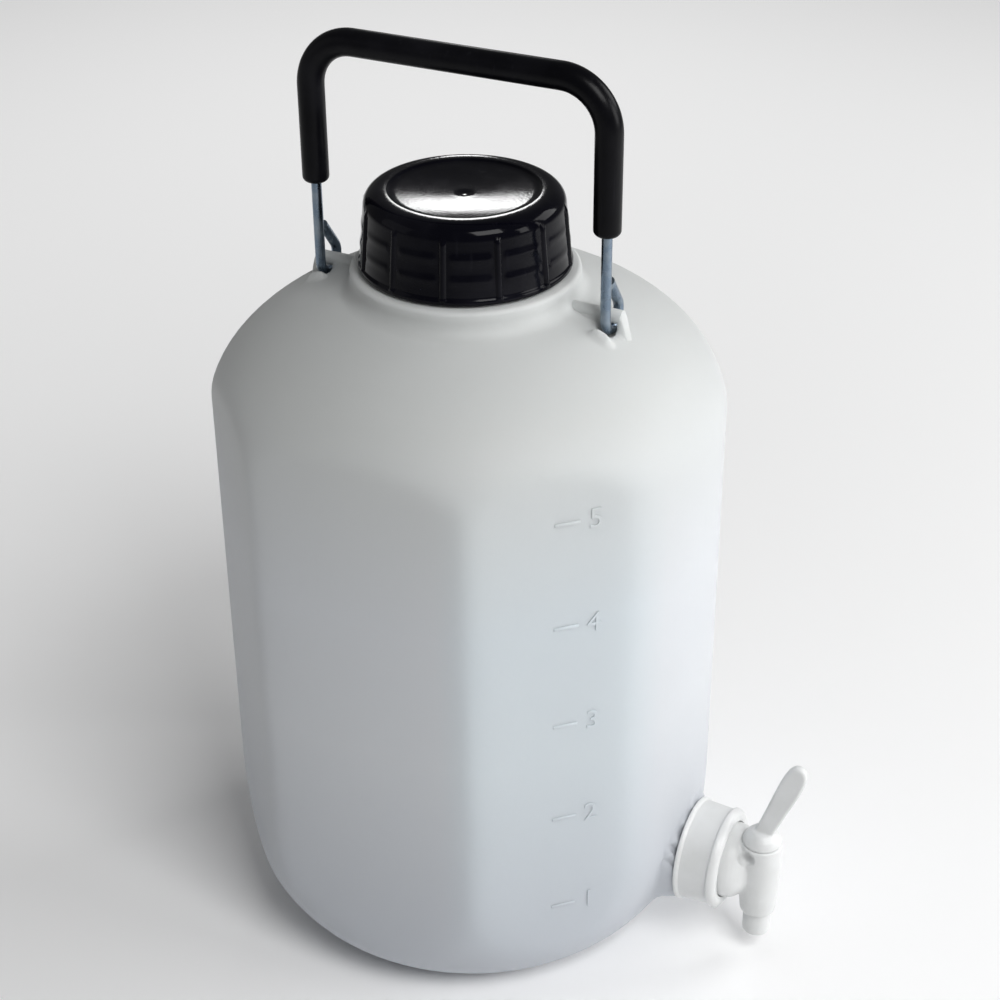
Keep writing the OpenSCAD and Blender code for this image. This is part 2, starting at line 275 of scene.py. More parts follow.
def boolean(obj, other, operation):
    """Joins, cuts or intersects obj with another closed piece, which is used up."""
    apply(obj, "BOOLEAN", object=other, operation=operation, solver="EXACT")
    bpy.data.objects.remove(other, do_unlink=True)


def smooth(obj, degrees=35):
    pick(obj)
    bpy.ops.object.shade_smooth_by_angle(angle=math.radians(degrees))


def move_points(obj, move):
    """Moves every vertex by a function of its coordinates."""
    count = len(obj.data.vertices)
    points = np.empty(count * 3)
    obj.data.vertices.foreach_get("co", points)
    points = move(points.reshape(-1, 3))
    obj.data.vertices.foreach_set("co", points.ravel())
    obj.data.update()


def rod(name, start, end, radius, sides=32, end_radius=None):
    """Round bar or cone from one point to another."""
    start, end = Vector(start), Vector(end)
    deselect()
    bpy.ops.mesh.primitive_cone_add(vertices=sides, radius1=radius,
                                    radius2=radius if end_radius is None else end_radius,
                                    depth=(end - start).length, location=(start + end) / 2,
                                    rotation=(end - start).to_track_quat("Z", "Y").to_euler())
    obj = new_name(bpy.context.object, name)
    bpy.ops.object.transform_apply(location=True, rotation=True, scale=True)
    return obj


def ball(name, centre, radius):
    deselect()
    bpy.ops.mesh.primitive_uv_sphere_add(segments=32, ring_count=16, radius=radius, location=centre)
    obj = new_name(bpy.context.object, name)
    bpy.ops.object.transform_apply(location=True, rotation=True, scale=True)
    return obj


def block(name, centre, size, bevel):
    """Box with rounded edges."""
    deselect()
    bpy.ops.mesh.primitive_cube_add(size=1, location=centre)
    obj = new_name(bpy.context.object, name)
    obj.scale = size
    bpy.ops.object.transform_apply(location=False, rotation=False, scale=True)
    bpy.ops.object.mode_set(mode="EDIT")
    bpy.ops.mesh.select_all(action="SELECT")
    bpy.ops.mesh.bevel(offset=bevel, segments=2, affect="EDGES")
    bpy.ops.object.mode_set(mode="OBJECT")
    bpy.ops.object.transform_apply(location=True, rotation=True, scale=True)
    return obj


def bent_tube(name, points, radius, sides, widths=None):
    """Round bar along a line of points. Widths, where given, scale its radius at each point."""
    curve = bpy.data.curves.new(name, "CURVE")
    curve.dimensions = "3D"
    spline = curve.splines.new("POLY")
    spline.points.add(len(points) - 1)
    for knot, point, width in zip(spline.points, points, widths or [1] * len(points)):
        knot.co = (*point, 1)
        knot.radius = width
    curve.bevel_depth = radius
    curve.bevel_resolution = (sides - 4) // 2
    curve.use_fill_caps = True
    obj = bpy.data.objects.new(name, curve)
    bpy.context.collection.objects.link(obj)
    pick(obj)
    bpy.ops.object.convert(target="MESH")
    obj = new_name(bpy.context.object, name)
    weld(1e-7)
    return obj


def soften(obj, voxel, passes):
    """Rebuilds a closed piece as one even skin and rounds its edges and inner corners."""
    apply(obj, "REMESH", mode="VOXEL", voxel_size=voxel)
    apply(obj, "SMOOTH", factor=0.5, iterations=passes)


def skin(name, rings):
    """Closed solid through a row of rings that have the same number of points."""
    count = len(rings[0])
    points = [p for ring in rings for p in ring]
    faces = []
    for low in range(0, len(points) - count, count):
        for j in range(count):
            after = (j + 1) % count
            faces.append((low + j, low + after, low + count + after, low + count + j))
    faces += [tuple(range(count)), tuple(range(len(points) - count, len(points)))]
    mesh = bpy.data.meshes.new(name)
    mesh.from_pydata(points, [], faces)
    obj = bpy.data.objects.new(name, mesh)
    bpy.context.collection.objects.link(obj)
    pick(obj)
    bpy.ops.object.mode_set(mode="EDIT")
    bpy.ops.mesh.select_all(action="SELECT")
    bpy.ops.mesh.normals_make_consistent(inside=False)
    bpy.ops.object.mode_set(mode="OBJECT")
    return obj


# ---------------------------------------------------------------- bottle

def body_outline():
    """Outside of the bottle from the middle of the floor to the top of the neck."""
    base = []
    for k in range(23):
        a = math.radians(90 - 90 * k / 22)
        base.append((FOOT_R + (BODY_R - FOOT_R) * math.cos(a) ** (2 / BASE_POWER),
                     BASE_H * (1 - math.sin(a) ** (2 / BASE_POWER))))
    drop = shoulder_height(COLLAR_R + 3 * MM) - shoulder_height(COLLAR_R + 5 * MM)
    slope = math.atan(drop / (2 * MM))
    inner_r = COLLAR_R + COLLAR_FILLET * (1 - math.sin(slope))
    radii = [BODY_R - (BODY_R - 64 * MM) * (k / 14) ** 2 for k in range(14)]
    radii += list(np.linspace(64 * MM, 47 * MM, 26)) + [inner_r]
    shoulder = [(radius, shoulder_height(radius)) for radius in radii]
    floor = [(0, PUSH_UP), (FOOT_IN_R * 0.3, PUSH_UP * 0.97), (FOOT_IN_R * 0.6, PUSH_UP * 0.85),
             (FOOT_IN_R * 0.8, PUSH_UP * 0.55), (FOOT_IN_R * 0.92, PUSH_UP * 0.2), (FOOT_IN_R, 0)]
    above_boss = (BODY_R, SPOUT_Z + BOSS_R + BOSS_FLARE + 6 * MM)
    side = stretch(base[-1], above_boss, 8) + stretch(above_boss, shoulder[0], 8)[:-1]
    fillet_z = shoulder_height(inner_r) + COLLAR_FILLET * math.cos(slope)
    fillet = arc((COLLAR_R + COLLAR_FILLET, fillet_z), COLLAR_FILLET,
                 270 - math.degrees(slope), 180, 10)[1:]
    edge = arc((COLLAR_R - COLLAR_EDGE, COLLAR_Z - COLLAR_EDGE), COLLAR_EDGE, 0, 90, 4)
    root = arc((NECK_R + 1 * MM, COLLAR_Z + 1 * MM), 1 * MM, 270, 180, 3)
    lip = arc((NECK_R - 0.8 * MM, NECK_TOP - 0.8 * MM), 0.8 * MM, 0, 90, 3)
    return floor + base + side + shoulder + fillet + edge + root + lip


def flat_limit(angle, middle, distance):
    """Radius at which a flat cuts a ray, or a large one where it doesn't."""
    turn = np.cos(angle - middle)
    return np.where(turn > 0.5, distance / np.maximum(turn, 0.5), 1.0)


def panel_limit(angle, middle):
    """The same for a wide panel, which bulges a little."""
    distance = (BODY_R * math.cos(PANEL_HALF) + PANEL_BULGE_R
                - math.sqrt(PANEL_BULGE_R ** 2 - (BODY_R * math.sin(PANEL_HALF)) ** 2))
    back = distance - PANEL_BULGE_R
    turn = angle - middle
    across = np.maximum(PANEL_BULGE_R ** 2 - (back * np.sin(turn)) ** 2, 0)
    reach = back * np.cos(turn) + np.sqrt(across)
    return np.where(np.cos(turn) > 0.5, reach, 1.0)


def press_flats(points):
    """Presses the flats and the wide panels into the round body, with soft edges."""
    radius = np.hypot(points[:, 0], points[:, 1])
    angle = np.arctan2(points[:, 1], points[:, 0])
    pull = np.exp(-radius / PRESS_SOFT)
    for middle in FLAT_ANGLES:
        pull += np.exp(-flat_limit(angle, middle, BODY_R * math.cos(FLAT_HALF)) / PRESS_SOFT)
    for middle in PANEL_ANGLES:
        pull += np.exp(-panel_limit(angle, middle) / PRESS_SOFT)
    pressed = -PRESS_SOFT * np.log(pull)
    share = np.where(radius > 1e-6, np.minimum(pressed, radius) / np.maximum(radius, 1e-6), 1)
    points[:, 0] *= share
    points[:, 1] *= share
    return points


def raise_boss(points):
    """Draws the wall out into the flared boss that carries the spout."""
    off = np.hypot(points[:, 1], points[:, 2] - SPOUT_Z)
    flare = np.clip((off - BOSS_R) / BOSS_FLARE, 0, None)
    boss_x = BODY_R + 1 * MM - BOSS_LEN * np.sqrt(flare)
    near = (points[:, 0] > 0) & (off < BOSS_R + BOSS_FLARE * 1.6)
    soft = 0.9 * MM
    grown = points[:, 0] + soft * np.log1p(np.exp(np.clip((boss_x - points[:, 0]) / soft, -40, 40)))
    points[:, 0] = np.where(near, grown, points[:, 0])
    return points


def press_pockets(points):
    """Sinks the shoulder under each eye, with a lip before the leg and a welt along the lug."""
    x = np.abs(points[:, 0])
    y, z = points[:, 1], points[:, 2]
    high = z > LUG_LOW_Z
    on_top = high & (x > LUG_START) & (x < LUG_END)
    aside = np.clip((np.abs(x - LEG_X) - LUG_GAP + 0.5 * MM) / (1.2 * MM), 0, 1)
    floor_z = HINGE_Z - np.sqrt(np.maximum(POCKET_R ** 2 - y ** 2, 0)) + 12 * MM * aside ** 2
    pull = np.exp(-(z - SHOULDER_Z) / POCKET_SOFT) + np.exp(-(floor_z - SHOULDER_Z) / POCKET_SOFT)
    low = -POCKET_SOFT * np.log(pull) + SHOULDER_Z
    lip = LIP_H * np.exp(-((x - LEG_X - LIP_OUT) / LIP_HALF_X) ** 4
                         - ((y + LIP_AHEAD) / LIP_HALF_Y) ** 2)
    along = np.clip((x - WELT_START) / (4 * MM), 0, 1) * np.clip((WELT_END - x) / (8 * MM), 0, 1)
    welt = WELT_H * np.exp(-(np.abs(y) / WELT_HALF) ** 3) * along * high
    welt = welt * np.clip((np.abs(x - LEG_X) - 1 * MM) / (2 * MM), 0, 1)
    sunk = np.where(on_top & (np.abs(y) < POCKET_R), low, z)
    points[:, 2] = sunk + np.where(on_top, lip, 0) + welt
    return points


def make_bottle():
    bottle = turn_outline("bottle_shell", body_outline(), 360)
    move_points(bottle, press_flats)
    move_points(bottle, raise_boss)
    move_points(bottle, press_pockets)
    apply(bottle, "SOLIDIFY", thickness=WALL, offset=-1, use_even_offset=False, use_rim=True)
    spout_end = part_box("spigot_gasket")[0][0]
    spout = rod("spout", (BODY_R - 1.5 * MM, 0, SPOUT_Z), (spout_end, 0, SPOUT_Z), SPOUT_R, 96)
    boolean(bottle, spout, "UNION")
    way = rod("spout_way", (BODY_R - 14 * MM, 0, SPOUT_Z), (spout_end + 5 * MM, 0, SPOUT_Z),
              SPOUT_IN_R, 96)
    boolean(bottle, way, "DIFFERENCE")
    for side in (-1, 1):
        for part in handle_lug(side):
            boolean(bottle, part, "UNION")
    smooth(bottle, 40)
    return bottle


def lug_ring(x, inset, height=1.0):
    """Section of a lug at x: a round top, and sides that flare out softly onto the shoulder."""
    top_r = BAR_R - inset
    base_z = shoulder_height(x)
    low_z = base_z - 1.2 * MM
    top_z = low_z + (BAR_Z - inset * 0.5 - low_z) * height
    ring = [(x, top_r * math.cos(a), top_z + top_r * math.sin(a))
            for a in np.linspace(0, math.pi, 17)]
    flare = []
    for k in range(7):
        a = math.radians(15 * k)
        reach = top_r + LUG_FILLET * (1 - math.cos(a))
        flare_z = base_z + LUG_FILLET * (1 - math.sin(a)) * height
        flare.append((reach, min(flare_z, top_z - LUG_STEP * (k + 1))))
    flare.append((top_r + LUG_FILLET, base_z - 2 * MM))
    left = [(x, -reach, z) for reach, z in flare]
    right = [(x, reach, z) for reach, z in reversed(flare)]
    return ring + left + right


def handle_lug(side):
    """Ridge out from the collar, short outer foot, and the bar that the wire's eye hangs round."""
    inner, outer = COLLAR_R - 2 * MM, LEG_X + LUG_GAP + LUG_FOOT
    ridge_end = LEG_X - LUG_GAP
    ridge = [lug_ring(x, 0) for x in np.linspace(inner, ridge_end - 0.6 * MM, 12)]
    ridge += [lug_ring(ridge_end - 0.2 * MM, 0.15 * MM), lug_ring(ridge_end, 0.5 * MM)]
    start = LEG_X + LUG_GAP
    foot = [lug_ring(start, 0.5 * MM), lug_ring(start + 0.2 * MM, 0.2 * MM)]
    for share in np.linspace(0, 1, 12):
        x = start + 0.8 * MM + (outer - start - 0.8 * MM) * share
        inset, height = 0.1 * MM + 1.1 * MM * share ** 2, 0.5 + 0.5 * math.cos(math.pi * share)
        foot.append(lug_ring(x, inset, height))
    parts = [skin("lug_ridge", ridge), skin("lug_foot", foot),
             rod("lug_bar", (ridge_end - 2 * MM, 0, BAR_Z), (start + 1.2 * MM, 0, BAR_Z),
                 BAR_R - 0.02 * MM, 48)]
    if side < 0:
        for part in parts:
            part.data.transform(Matrix.Rotation(math.pi, 4, "Z"))
    return parts


def make_marks():
    """Raised litre marks with plain digits on one flat."""
    turn = Matrix.Rotation(MARK_ANGLE, 4, "Z")
    distance = BODY_R * math.cos(FLAT_HALF)
    parts = []
    for k in range(MARK_COUNT):
        z = MARK_Z + k * MARK_STEP
        parts.append(block("mark", (distance, MARK_OFFSET, z),
                           (2 * MARK_PROUD, MARK_LEN, MARK_W), MARK_BEVEL))
        deselect()
        bpy.ops.object.text_add(location=(0, 0, 0))
        digit = bpy.context.object
        digit.data.body = str(k + 1)
        digit.data.size = DIGIT_SIZE
        digit.data.align_x = "CENTER"
        digit.data.align_y = "CENTER"
        digit.data.extrude = MARK_PROUD
        digit.data.resolution_u = 4
        bpy.ops.object.convert(target="MESH")
        digit = bpy.context.object
        weld(1e-6)
        digit.matrix_world = (Matrix.Translation((distance, DIGIT_OFFSET, z))
                              @ Matrix.Rotation(math.pi / 2, 4, "Z")
                              @ Matrix.Rotation(math.pi / 2, 4, "X"))
        bpy.ops.object.transform_apply(location=True, rotation=True, scale=True)
        parts.append(digit)
    marks = join(parts, "litre_marks")
    marks.data.transform(turn)
    smooth(marks, 30)
    return marks


def make_thread(name, radius, depth, low, turns, outward=True):
    """Rounded screw ridge that fades in and out at its ends."""
    steps = int(turns * 72)
    rows = []
    for k in range(steps + 1):
        share = k / steps
        fade = min(1, share * turns / 0.12, (1 - share) * turns / 0.12)
        a = share * turns * TURN
        z = low + share * turns * THREAD_PITCH
        reach = depth * fade * (1 if outward else -1)
        base = radius - 0.4 * MM * (1 if outward else -1)
        section = [(base, -1.5 * MM), (radius, -1.3 * MM), (radius + reach, -0.45 * MM),
                   (radius + reach, 0.45 * MM), (radius, 1.3 * MM), (base, 1.5 * MM)]
        rows.append([(r * math.cos(a), r * math.sin(a), z + h) for r, h in section])
    obj = skin(name, rows)
    smooth(obj, 40)
    return obj


# ---------------------------------------------------------------- cap

def cap_outline():
    """Half section of the cap, from the middle of its top to the middle of its underside."""
    dish_z = CAP_TOP - DISH_DEPTH
    top = [(0, dish_z - 0.3 * MM), (1.2 * MM, dish_z - 0.28 * MM), (2 * MM, dish_z - 0.15 * MM),
           (2.8 * MM, dish_z - 0.01 * MM)]
    bowl_end = DISH_R - 0.8 * MM
    top += [(radius, dish_z + DISH_BOWL * (radius / DISH_R) ** 2)
            for radius in np.linspace(4 * MM, bowl_end, 12)]
    top += [(DISH_R - 0.35 * MM, dish_z + DISH_BOWL + 0.05 * MM), (DISH_R, CAP_TOP - 0.2 * MM),
            (DISH_R + 0.2 * MM, CAP_TOP - 0.05 * MM), (DISH_R + 0.5 * MM, CAP_TOP)]
    edge = [(CAP_R - CAP_ROUND_W * (1 - math.cos(a)), CAP_TOP - CAP_ROUND_H * (1 - math.sin(a)))
            for a in np.radians(np.linspace(90, 0, 12))]
    rim_top = CAP_LOW + CAP_RIM_H
    skirt = stretch(edge[-1], (CAP_SKIRT_R - 0.6 * MM, rim_top), 34)
    rim = [(CAP_SKIRT_R - 0.25 * MM, rim_top - 0.3 * MM), (CAP_SKIRT_R, rim_top - 0.9 * MM),
           (CAP_SKIRT_R, CAP_LOW + 0.4 * MM), (CAP_SKIRT_R - 0.35 * MM, CAP_LOW),
           (CAP_IN_R + 0.6 * MM, CAP_LOW), (CAP_IN_R, CAP_LOW + 0.6 * MM)]
    under = CAP_TOP - CAP_TOP_T
    return top + edge + skirt + rim + stretch(rim[-1], (CAP_IN_R, under), 3) + [(0, under)]


def rib_cap(points):
    """Raises the upright ribs and two soft rings between them on the cap's skirt."""
    radius = np.hypot(points[:, 0], points[:, 1])
    z = points[:, 2]
    turn = np.arctan2(points[:, 1], points[:, 0])
    pitch = TURN / CAP_RIBS
    off = (np.mod(turn, pitch) - pitch / 2) * CAP_R
    foot_z, head_z = CAP_LOW + CAP_RIM_H, CAP_TOP - 4.4 * MM
    head = np.clip((head_z - z) / (1.4 * MM), 0, 1)
    foot = np.clip((z - foot_z + 0.6 * MM) / (0.6 * MM), 0, 1)
    rib = np.clip(1.55 - np.abs(off) / CAP_RIB_HALF, 0, 1) ** 0.7 * np.sqrt(head * foot)
    ring = sum(np.exp(-((z - height) / CAP_RING_HALF) ** 2)
               for height in (CAP_LOW + 8.2 * MM, CAP_LOW + 15.6 * MM))
    ring = ring * np.clip((np.abs(off) - 1.6 * MM) / (1.6 * MM), 0, 1)
    raised = np.maximum(CAP_RIB_PROUD * rib, CAP_RING_PROUD * ring)
    grow = np.where((radius > CAP_IN_R + 1.2 * MM) & (z < CAP_TOP - 3 * MM), raised, 0)
    points[:, :2] *= (1 + grow / np.maximum(radius, 1 * MM))[:, None]
    return points


def make_cap():
    cap = turn_outline("screw_cap", cap_outline(), 720)
    move_points(cap, rib_cap)
    smooth(cap, 45)
    return cap


# ---------------------------------------------------------------- handle

def leg_line(side):
    """Middle of the wire from the end of its tail, round the eye and up the leg to the bend."""
    x = side * LEG_X
    tail_y, tail_z = EYE_R * math.cos(TAIL_SLOPE), EYE_R * math.sin(TAIL_SLOPE)
    up = Vector((0, -math.sin(TAIL_SLOPE), math.cos(TAIL_SLOPE)))
    start = Vector((x, tail_y, HINGE_Z + tail_z))
    points = [start + up * TAIL_LEN * k / 6 for k in range(6, 0, -1)]
    for a in np.linspace(TAIL_SLOPE, -math.pi, 40):
        points.append(Vector((x, EYE_R * math.cos(a), HINGE_Z + EYE_R * math.sin(a))))
    points.append(Vector((x, -EYE_R, GRIP_Z - BEND_R - SLEEVE_LEG)))
    return points


def grip_line():
    """Middle of the handle from the foot of one sleeve leg to the other."""
    points = [Vector((LEG_X, -EYE_R, GRIP_Z - BEND_R - SLEEVE_LEG * (1 - k / 6))) for k in range(6)]
    for a in np.linspace(0, math.pi / 2, 20):
        points.append(Vector((LEG_X - BEND_R * (1 - math.cos(a)), -EYE_R,
                              GRIP_Z - BEND_R * (1 - math.sin(a)))))
    points += [Vector((x, -EYE_R, GRIP_Z)) for x in np.linspace(LEG_X - BEND_R, 0, 6)[1:]]
    return points + [Vector((-p.x, p.y, p.z)) for p in reversed(points[:-1])]


def make_wire():
    line = leg_line(1) + grip_line()[1:-1] + list(reversed(leg_line(-1)))
    wire = bent_tube("handle_wire", line, WIRE_R, 32)
    smooth(wire, 45)
    return wire


def make_sleeve():
    """Grip sleeve, which narrows round each end to a share of its width."""
    line, steps = grip_line(), 8
    turns = [math.pi / 2 * k / steps for k in range(steps)]
    shares = [SLEEVE_END_SHARE + (1 - SLEEVE_END_SHARE) * math.sin(a) for a in turns]
    first = [Vector((LEG_X, -EYE_R, line[0].z - SLEEVE_ROUND * math.cos(a))) for a in turns]
    last = [Vector((-p.x, p.y, p.z)) for p in reversed(first)]
    widths = shares + [1] * len(line) + shares[::-1]
    sleeve = bent_tube("grip_sleeve", first + line + last, SLEEVE_R, 48, widths)
    smooth(sleeve, 50)
    return sleeve


# ---------------------------------------------------------------- spigot

def make_nut():
    """Union nut with a bead at its back and a rolled front edge."""
    side_r, in_r, round_x = NUT_R - 0.5 * MM, SPOUT_R + 0.4 * MM, NUT_FACE_X - 3.4 * MM
    back = NUT_BACK_X
    outline = [(in_r, back), (NUT_R, back), (NUT_R + 0.4 * MM, back + 0.2 * MM),
               (NUT_R + 0.5 * MM, back + 0.7 * MM), (NUT_R + 0.4 * MM, back + 1.2 * MM),
               (NUT_R, back + 1.6 * MM), (side_r + 0.1 * MM, back + 1.9 * MM),
               (side_r, back + 2.4 * MM)]
    outline += stretch(outline[-1], (side_r - 0.5 * MM, round_x - 0.9 * MM), 5)
    outline += [(side_r - 0.4 * MM, round_x - 0.4 * MM), (side_r + 0.1 * MM, round_x)]
    outline += [(side_r + 0.3 * MM - 2.4 * MM * (1 - math.cos(a)),
                 round_x + 0.3 * MM + 3.1 * MM * math.sin(a))
                for a in np.radians(np.linspace(0, 88, 12))]
    lip_r = CONE_R + 0.4 * MM
    outline += [(lip_r + 0.8 * MM, NUT_FACE_X), (lip_r + 0.2 * MM, NUT_FACE_X - 0.2 * MM),
                (lip_r, NUT_FACE_X - 0.8 * MM), (lip_r, NUT_FACE_X - NUT_LIP_T),
                (in_r, NUT_FACE_X - NUT_LIP_T), (in_r, back)]
    centre = (0, 0, SPOUT_Z)
    nut = turn_outline("union_nut", outline, 160, centre, "X")
    stop_at = side_r - 0.9 * MM
    stop = ball("stop", (round_x + 0.9 * MM, math.cos(STOP_ANGLE) * stop_at,
                         SPOUT_Z + math.sin(STOP_ANGLE) * stop_at), STOP_R)
    boolean(nut, stop, "UNION")
    smooth(nut, 40)
    return nut


def make_tap():
    """Tap body: flange, cone and barrel grown together, bored for the key."""
    centre = (0, 0, SPOUT_Z)
    flange_r = SPOUT_R - 0.2 * MM
    lip_x = NUT_FACE_X - NUT_LIP_T
    cone = [(0, FLANGE_X), (flange_r, FLANGE_X), (flange_r, lip_x), (CONE_R, lip_x)]
    cone += [(CONE_R - inward * MM, NUT_FACE_X + out * MM) for inward, out in CONE_SHAPE]
    cone.append((0, NUT_FACE_X + 9 * MM))
    tap = turn_outline("tap_body", cone, 128, centre, "X")
    skirt_z = BARREL_LOW + 4 * MM
    barrel = [(0, skirt_z), (6.2 * MM, skirt_z), (6.7 * MM, skirt_z + 0.5 * MM),
              (7.2 * MM, BARREL_LOW + 10 * MM), (7.5 * MM, BARREL_LOW + 17 * MM),
              (BARREL_R, BARREL_LOW + 26 * MM), (BARREL_R, BARREL_TOP - 1 * MM),
              (BARREL_R - 0.1 * MM, BARREL_TOP), (0, BARREL_TOP)]
    boolean(tap, turn_outline("tap_barrel", barrel, 96, (BARREL_X, 0, 0)), "UNION")
    out = Vector((math.cos(RECESS_ANGLE), math.sin(RECESS_ANGLE), 0))
    at = Vector((BARREL_X, 0, SPOUT_Z + RECESS_UP)) + out * (BARREL_R + RECESS_OUT)
    boolean(tap, ball("recess", at, RECESS_R), "DIFFERENCE")
    soften(tap, TAP_VOXEL, TAP_PASSES)
    bore = rod("key_bore", (BARREL_X, 0, BARREL_LOW - 3 * MM), (BARREL_X, 0, BARREL_TOP + 3 * MM),
               PLUG_R + 0.1 * MM, 64)
    boolean(tap, bore, "DIFFERENCE")
    inlet = rod("inlet", (FLANGE_X - 1 * MM, 0, SPOUT_Z), (NUT_FACE_X + 2 * MM, 0, SPOUT_Z),
                CONE_R - 3 * MM, 64, end_radius=WAY_R)
    boolean(tap, inlet, "DIFFERENCE")
    way = rod("way", (NUT_FACE_X, 0, SPOUT_Z), (BARREL_X, 0, SPOUT_Z), WAY_R, 48)
    boolean(tap, way, "DIFFERENCE")
    smooth(tap, 40)
    return tap


def make_blade():
    """Upright lever with rounded edges and a round end, from half widths along its middle."""
    curve = bpy.data.curves.new("lever", "CURVE")
    curve.dimensions = "2D"
    curve.fill_mode = "BOTH"
    right = [(half * MM - LEVER_EDGE, along * MM) for half, along in LEVER_SIDE]
    left = [(-x, along) for x, along in reversed(right)]
    tip = arc((0, LEVER_LEN - LEVER_TIP_R), LEVER_TIP_R - LEVER_EDGE, 20, 160, 14)
    outline = right + tip + left
    spline = curve.splines.new("POLY")
    spline.points.add(len(outline) - 1)
    for knot, (x, z) in zip(spline.points, outline):
        knot.co = (x, z, 0, 1)
    spline.use_cyclic_u = True
    curve.extrude = LEVER_T / 2 - LEVER_EDGE
    curve.bevel_depth = LEVER_EDGE
    curve.bevel_resolution = 4
    obj = bpy.data.objects.new("lever", curve)
    bpy.context.collection.objects.link(obj)
    pick(obj)
    bpy.ops.object.convert(target="MESH")
    blade = new_name(bpy.context.object, "lever")
    place = Vector((BARREL_X, 0, BARREL_TOP + 3.2 * MM))
    blade.data.transform(Matrix.Translation(place) @ Matrix.Rotation(LEVER_LEAN, 4, "Y")
                         @ Matrix.Rotation(math.pi / 2, 4, "X"))
    return blade


def make_key():
    """Plug, domed head and lever in one, with the way for the liquid down the middle."""
    low, seat = NOZZLE_LOW, BARREL_TOP + SEAT_GAP
    outline = [(0, low), (PLUG_R - 0.9 * MM, low), (PLUG_R - 0.3 * MM, low + 0.3 * MM),
               (PLUG_R, low + 1 * MM), (PLUG_R, seat)]
    outline += [(radius * MM, seat + rise * MM) for radius, rise in HEAD_DOME]
    key = turn_outline("tap_key", outline, 96, (BARREL_X, 0, 0))
    boolean(key, make_blade(), "UNION")
    soften(key, KEY_VOXEL, KEY_PASSES)
    outlet = rod("outlet", (BARREL_X, 0, low - 2 * MM), (BARREL_X, 0, SPOUT_Z + WAY_R), WAY_R, 48)
    boolean(key, outlet, "DIFFERENCE")
    smooth(key, 40)
    return key


# ---------------------------------------------------------------- materials

def new_group(name, inputs, outputs):
    """Empty node group. Inputs are (name, value) pairs, and outputs (name, socket type)."""
    group = bpy.data.node_groups.new(name, "ShaderNodeTree")
    for label, value in inputs:
        kind = "NodeSocketColor" if isinstance(value, tuple) else "NodeSocketFloat"
        socket = group.interface.new_socket(label, in_out="INPUT", socket_type=kind)
        socket.default_value = value
    for label, kind in outputs:
        group.interface.new_socket(label, in_out="OUTPUT", socket_type=kind)
    return group, group.nodes.new("NodeGroupInput"), group.nodes.new("NodeGroupOutput")


def noise_at(tree, scale, detail, place_out, stretch_z=1.0):
    """Noise in the object's own coordinates, drawn out along Z where stretch_z is small."""
    spread = tree.nodes.new("ShaderNodeMapping")
    spread.inputs["Scale"].default_value = (1, 1, stretch_z)
    noise = tree.nodes.new("ShaderNodeTexNoise")
    noise.inputs["Detail"].default_value = detail
    if isinstance(scale, (int, float)):
        noise.inputs["Scale"].default_value = scale
    else:
        tree.links.new(scale, noise.inputs["Scale"])
    tree.links.new(place_out, spread.inputs["Vector"])
    tree.links.new(spread.outputs["Vector"], noise.inputs["Vector"])
    return noise.outputs["Fac"]


def map_values(tree, value_out, low, high, from_low=0.0, from_high=1.0):
    spread = tree.nodes.new("ShaderNodeMapRange")
    limits = {"From Min": from_low, "From Max": from_high, "To Min": low, "To Max": high}
    for label, value in limits.items():
        spread.inputs[label].default_value = value
    tree.links.new(value_out, spread.inputs["Value"])
    return spread.outputs["Result"]


def make_grain_group():
    """Fine moulding grain over a slow ripple, as a surface normal."""
    group, ins, outs = new_group("grain", [("Scale", 400.0), ("Depth", 0.0002), ("Ripple", 0.0004)],
                                 [("Normal", "NodeSocketVector")])
    place = group.nodes.new("ShaderNodeTexCoord").outputs["Object"]
    ripple = group.nodes.new("ShaderNodeBump")
    fine = group.nodes.new("ShaderNodeBump")
    for bump, strength in ((ripple, 0.5), (fine, 0.15)):
        bump.inputs["Strength"].default_value = strength
    group.links.new(noise_at(group, 22.0, 2, place), ripple.inputs["Height"])
    group.links.new(ins.outputs["Ripple"], ripple.inputs["Distance"])
    group.links.new(noise_at(group, ins.outputs["Scale"], 3, place), fine.inputs["Height"])
    group.links.new(ins.outputs["Depth"], fine.inputs["Distance"])
    group.links.new(ripple.outputs["Normal"], fine.inputs["Normal"])
    group.links.new(fine.outputs["Normal"], outs.inputs["Normal"])
    return group


def make_wear_group():
    """Mask of handling marks: soft smears, fine scratches and rubbed edges."""
    inputs = [("Smear Scale", 30.0), ("Scratches", 0.5), ("Edges", 0.5)]
    group, ins, outs = new_group("wear", inputs, [("Mask", "NodeSocketFloat")])
    place = group.nodes.new("ShaderNodeTexCoord").outputs["Object"]
    bends = group.nodes.new("ShaderNodeNewGeometry").outputs["Pointiness"]
    smears = noise_at(group, ins.outputs["Smear Scale"], 4, place)
    scratches = noise_at(group, 420.0, 2, place, 0.06)
    total = map_values(group, smears, 0, 1, 0.45, 0.75)
    for label, value_out, low, high in (("Scratches", scratches, 0.66, 0.74),
                                        ("Edges", bends, 0.52, 0.62)):
        share = group.nodes.new("ShaderNodeMath")
        share.operation = "MULTIPLY_ADD"
        group.links.new(map_values(group, value_out, 0, 1, low, high), share.inputs[0])
        group.links.new(ins.outputs[label], share.inputs[1])
        group.links.new(total, share.inputs[2])
        total = share.outputs["Value"]
    group.links.new(total, outs.inputs["Mask"])
    return group


GRAIN = make_grain_group()
WEAR = make_wear_group()


def add_group(tree, group, **values):
    node = tree.nodes.new("ShaderNodeGroup")
    node.node_tree = group
    for label, value in values.items():
        node.inputs[label.replace("_", " ")].default_value = value
    return node


